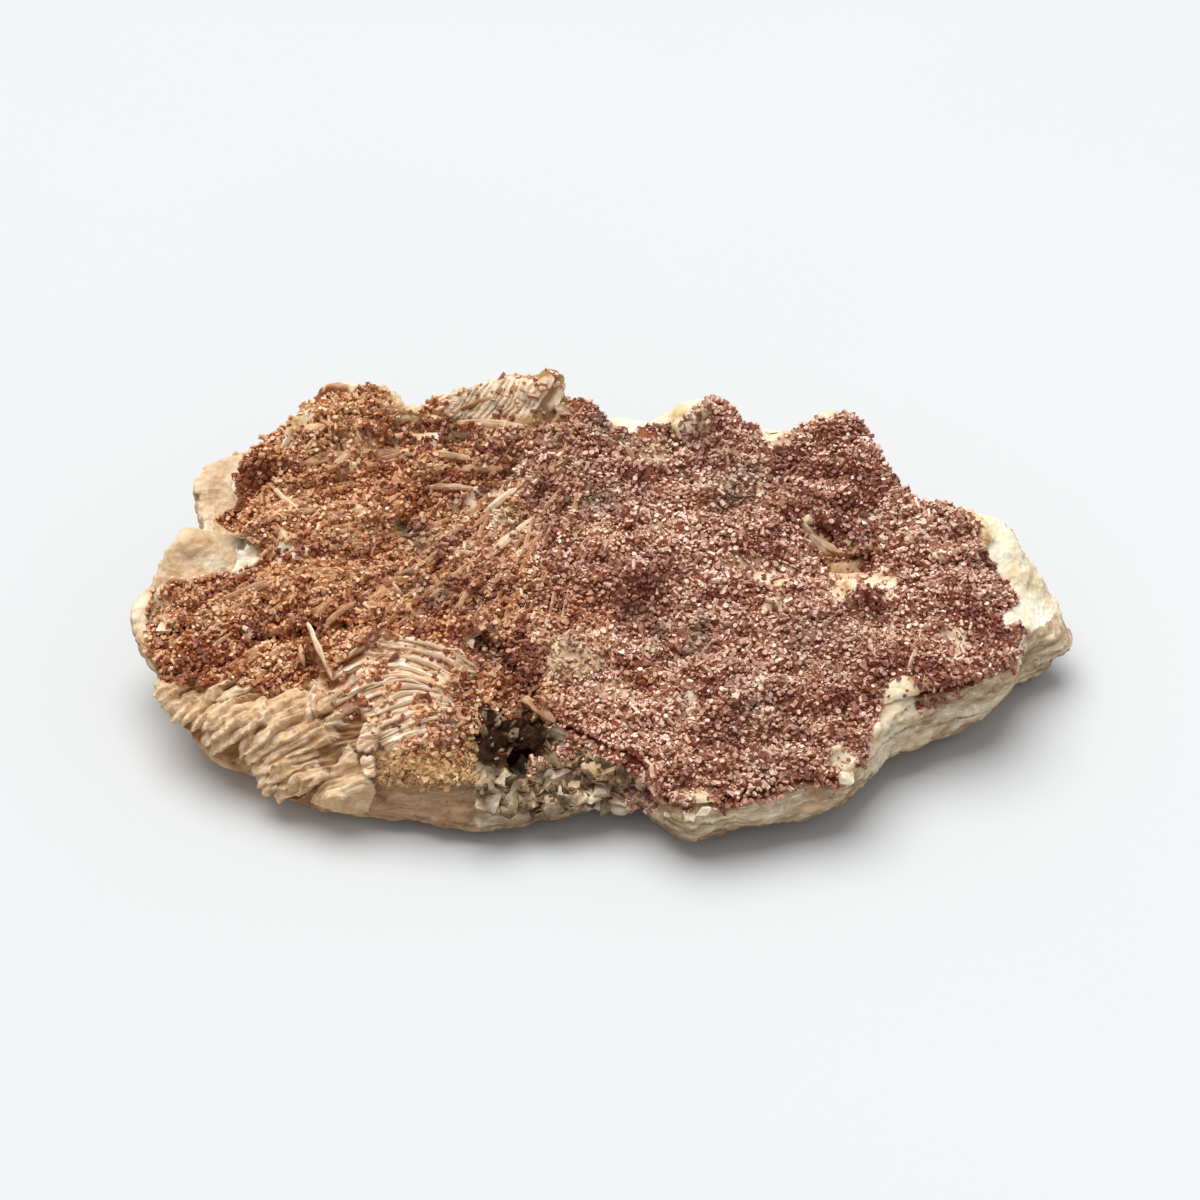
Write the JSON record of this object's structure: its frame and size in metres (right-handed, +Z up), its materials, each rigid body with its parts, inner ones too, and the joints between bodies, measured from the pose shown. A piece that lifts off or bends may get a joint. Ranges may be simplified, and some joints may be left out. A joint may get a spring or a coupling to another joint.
{
  "type": "mineral specimen",
  "caption": "Irregular broken slab of cream baryte with a crust of small red-brown vanadinite crystals on top, bladed baryte at one side and a flat underside; a display and study specimen",
  "frame": {"origin": "on the flat underside that the specimen rests on, near the middle of its plan", "axes": "+X runs along the specimen's length to the right as it is shown, +Y to its back, and +Z up from the resting face"},
  "size_m": [0.1494, 0.0804, 0.0355],
  "materials": {
    "baryte": "broken cream to tan mineral, dull with pearly blade edges",
    "vanadinite": "red-brown crystal druse with a resinous sparkle and a little dust"
  },
  "bodies": {
    "root": {"baryte_matrix": "baryte", "vanadinite_crust": "vanadinite"}
  },
  "joints": []
}
